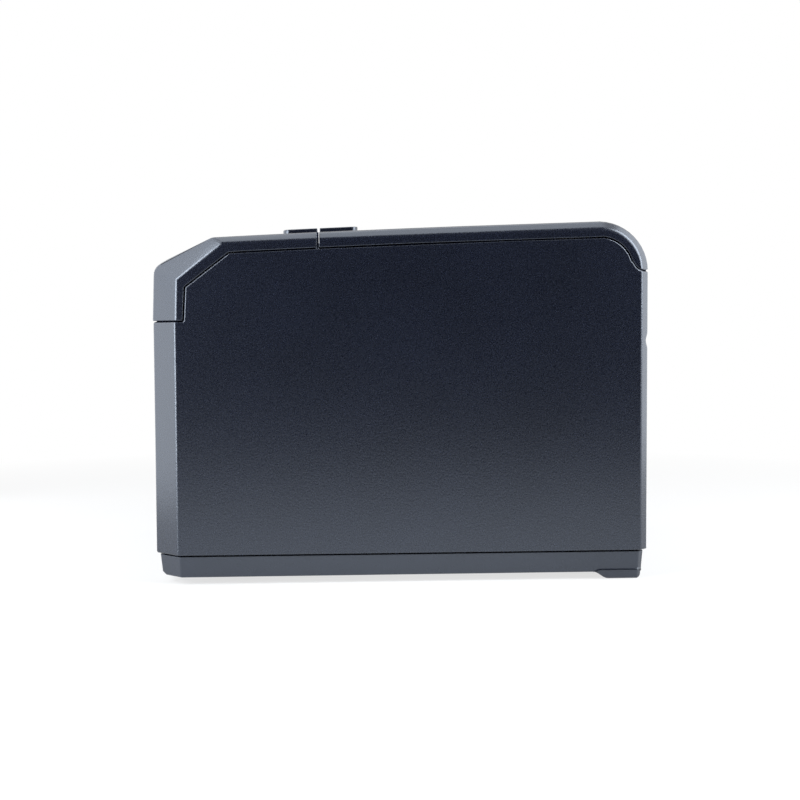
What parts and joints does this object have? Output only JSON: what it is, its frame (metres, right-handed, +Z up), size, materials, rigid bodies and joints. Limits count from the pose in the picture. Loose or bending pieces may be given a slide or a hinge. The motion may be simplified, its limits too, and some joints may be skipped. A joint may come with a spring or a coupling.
{
  "type": "receipt printer",
  "caption": "Desktop thermal receipt printer with a hinged paper lid over a drop-in roll bay, a platen roller that lifts away from the print head, and a sliding auto cutter.",
  "frame": {"origin": "on the table plane, under the middle of the bounding box", "axes": "+Z up; front with the control panel faces -Y, lid hinge and sockets at +Y; X across the width"},
  "size_m": [0.145, 0.194, 0.141],
  "materials": {
    "case_plastic": "fine matte grain, dark navy black",
    "inner_plastic": "plain moulded black",
    "rubber": "ground rubber",
    "steel": "zinc plated",
    "aluminium": "extruded, plain",
    "brass": "sintered",
    "gear_plastic": "natural acetal",
    "ceramic": "glazed ceramic",
    "board": "solder mask",
    "light_pipe": "clear moulded",
    "socket_black": "moulded",
    "ribbon": "polyimide film"
  },
  "bodies": {
    "case": {"base_tray": "case_plastic", "front_feet": "rubber", "rear_pads": "rubber", "main_housing": "case_plastic", "front_cover": "case_plastic", "mechanism_frame": "steel", "head_springs": "steel", "feed_motor": "steel", "idler_pin": "steel", "cutter_frame": "steel", "cutter_motor": "steel", "status_light_pipes": "light_pipe", "panel_board": "board", "power_switch_body": "socket_black", "main_board": "board", "board_components": "socket_black", "power_inlet": "socket_black", "usb_socket": "steel", "drawer_socket": "socket_black", "network_socket": "steel", "paper_bucket": "inner_plastic", "paper_end_sensor": "socket_black", "lid_switch": "socket_black", "head_ribbon": "ribbon", "case_screws": "steel", "board_screws": "steel", "mechanism_screws": "steel", "release_spring": "steel"},
    "lid": {"paper_lid": "case_plastic", "lid_inner_frame": "inner_plastic", "hinge_pins": "steel", "platen_bushings": "brass", "fixed_blade": "steel", "lid_screws": "steel"},
    "platen": {"platen_roller": "rubber", "platen_shaft": "steel", "platen_gear": "gear_plastic"},
    "idler": {"idler_gear": "gear_plastic"},
    "feed_rotor": {"motor_pinion": "brass"},
    "print_head": {"thermal_head": "ceramic", "head_heat_sink": "aluminium"},
    "blade": {"moving_blade": "steel"},
    "blade_drive": {"cutter_drive_gear": "gear_plastic"},
    "cutter_rotor": {"cutter_motor_pinion": "brass"},
    "release": {"release_button": "inner_plastic"},
    "latch": {"latch_levers": "steel", "latch_shaft": "steel"},
    "feed_key": {"feed_button": "inner_plastic"},
    "rocker": {"power_switch_rocker": "socket_black"},
    "near_end": {"near_end_lever": "gear_plastic"}
  },
  "joints": [
    {"name": "lid_hinge", "type": "hinge", "parent": "case", "child": "lid", "pos_m": [0, 0.095, 0.1262], "axis": [-1, 0, 0], "range_deg": [0, 80]},
    {"name": "platen_spin", "type": "hinge", "parent": "lid", "child": "platen", "pos_m": [0, -0.0245, 0.1195], "axis": [1, 0, 0], "continuous": true},
    {"name": "idler_spin", "type": "hinge", "parent": "case", "child": "idler", "pos_m": [0.0545, -0.0245, 0.10055], "axis": [1, 0, 0], "continuous": true},
    {"name": "feed_motor_spin", "type": "hinge", "parent": "case", "child": "feed_rotor", "pos_m": [0.054, -0.02832, 0.0863], "axis": [1, 0, 0], "continuous": true},
    {"name": "head_float", "type": "slide", "parent": "case", "child": "print_head", "axis": [0, -1, 0], "range_m": [0, 0.0008], "stiffness_N_per_m": 3000, "springref_m": -0.003, "deforming": ["head_springs"]},
    {"name": "blade_slide", "type": "slide", "parent": "case", "child": "blade", "axis": [0, 1, 0], "range_m": [0, 0.007]},
    {"name": "blade_drive_turn", "type": "hinge", "parent": "case", "child": "blade_drive", "pos_m": [-0.0242, -0.049, 0.126], "axis": [0, 0, 1], "range_deg": [0, 96]},
    {"name": "cutter_motor_turn", "type": "hinge", "parent": "case", "child": "cutter_rotor", "pos_m": [-0.0242, -0.06105, 0.125], "axis": [0, 0, 1], "range_deg": [-288, 0]},
    {"name": "release_press", "type": "slide", "parent": "case", "child": "release", "axis": [0, 0, -1], "range_m": [0, 0.0028], "stiffness_N_per_m": 600, "springref_m": -0.004, "deforming": ["release_spring"]},
    {"name": "latch_turn", "type": "hinge", "parent": "case", "child": "latch", "pos_m": [0, -0.0406, 0.108], "axis": [1, 0, 0], "range_deg": [0, 18.2]},
    {"name": "feed_press", "type": "slide", "parent": "case", "child": "feed_key", "axis": [0, 0.4415, -0.8973], "range_m": [0, 0.0008], "stiffness_N_per_m": 800, "springref_m": -0.001},
    {"name": "rocker_turn", "type": "hinge", "parent": "case", "child": "rocker", "pos_m": [-0.0651, -0.0615, 0.035], "axis": [0, 0, 1], "range_deg": [0, 16]},
    {"name": "near_end_turn", "type": "hinge", "parent": "case", "child": "near_end", "pos_m": [0.05, 0.0315, 0.06], "axis": [0, 1, 0], "range_deg": [0, 16], "stiffness_Nm_per_rad": 0.01, "springref_deg": -28.65}
  ],
  "couplings": [
    {"joint": "idler_spin", "follows": "platen_spin", "ratio": -0.8},
    {"joint": "feed_motor_spin", "follows": "platen_spin", "ratio": 2},
    {"joint": "blade_drive_turn", "follows": "blade_slide", "rad_per_m": 238.1},
    {"joint": "cutter_motor_turn", "follows": "blade_slide", "rad_per_m": -714.29},
    {"joint": "latch_turn", "follows": "release_press", "rad_per_m": 112.2}
  ]
}
